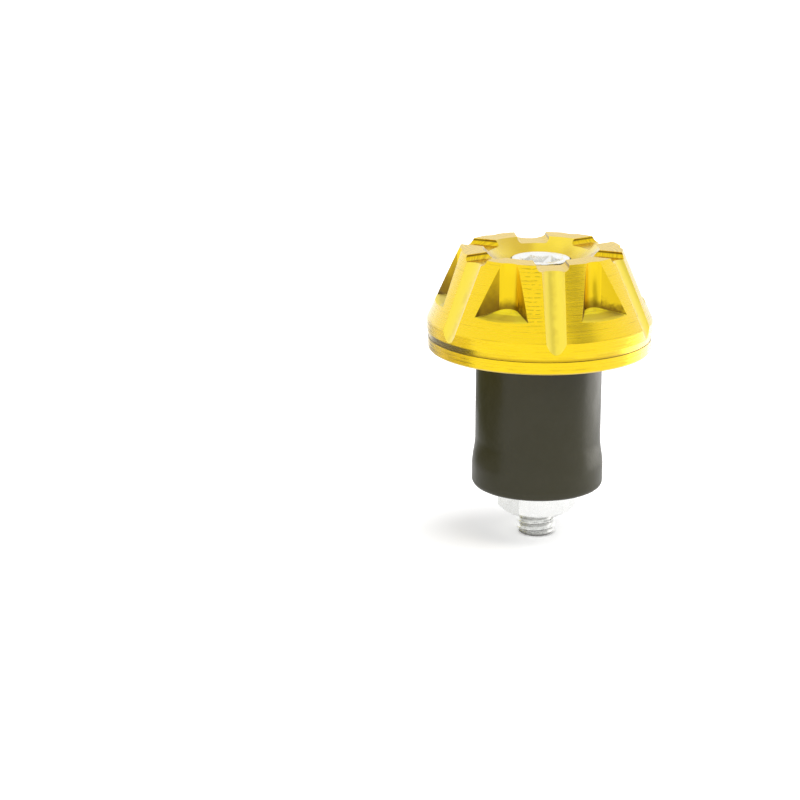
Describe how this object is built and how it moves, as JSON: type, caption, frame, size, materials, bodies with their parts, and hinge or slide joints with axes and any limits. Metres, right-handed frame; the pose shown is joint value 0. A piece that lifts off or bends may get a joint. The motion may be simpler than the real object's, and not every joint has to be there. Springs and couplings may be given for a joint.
{
  "type": "bar end weight",
  "caption": "Milled conical bar end weight with a spoked crown, a rubber expander sleeve, a central socket screw and a hex nut, for the end of a motorcycle handlebar.",
  "frame": {"origin": "middle of the flange's underside, where it seats on the end of the handlebar", "axes": "+Z along the handlebar's axis, out of the bar, towards the crown; -Y faces the picture's camera"},
  "size_m": [0.0322, 0.0322, 0.0424],
  "materials": {
    "gold_anodised": "bright gold anodised, turned and milled",
    "sleeve_rubber": "moulded matt black rubber",
    "zinc_steel": "bright zinc plate"
  },
  "bodies": {
    "head": {"head": "gold_anodised", "sleeve": "sleeve_rubber"},
    "screw": {"screw": "zinc_steel"},
    "nut": {"nut": "zinc_steel"}
  },
  "joints": [
    {"name": "screw_turn", "type": "hinge", "parent": "head", "child": "screw", "pos_m": [0, 0, 0], "axis": [0, 0, -1], "range_deg": [-360, 1080]},
    {"name": "nut_travel", "type": "slide", "parent": "head", "child": "nut", "axis": [0, 0, 1], "range_m": [-0.001, 0.003], "deforming": ["sleeve"]}
  ],
  "couplings": [
    {"joint": "screw_turn", "follows": "nut_travel", "rad_per_m": 6283.2}
  ]
}
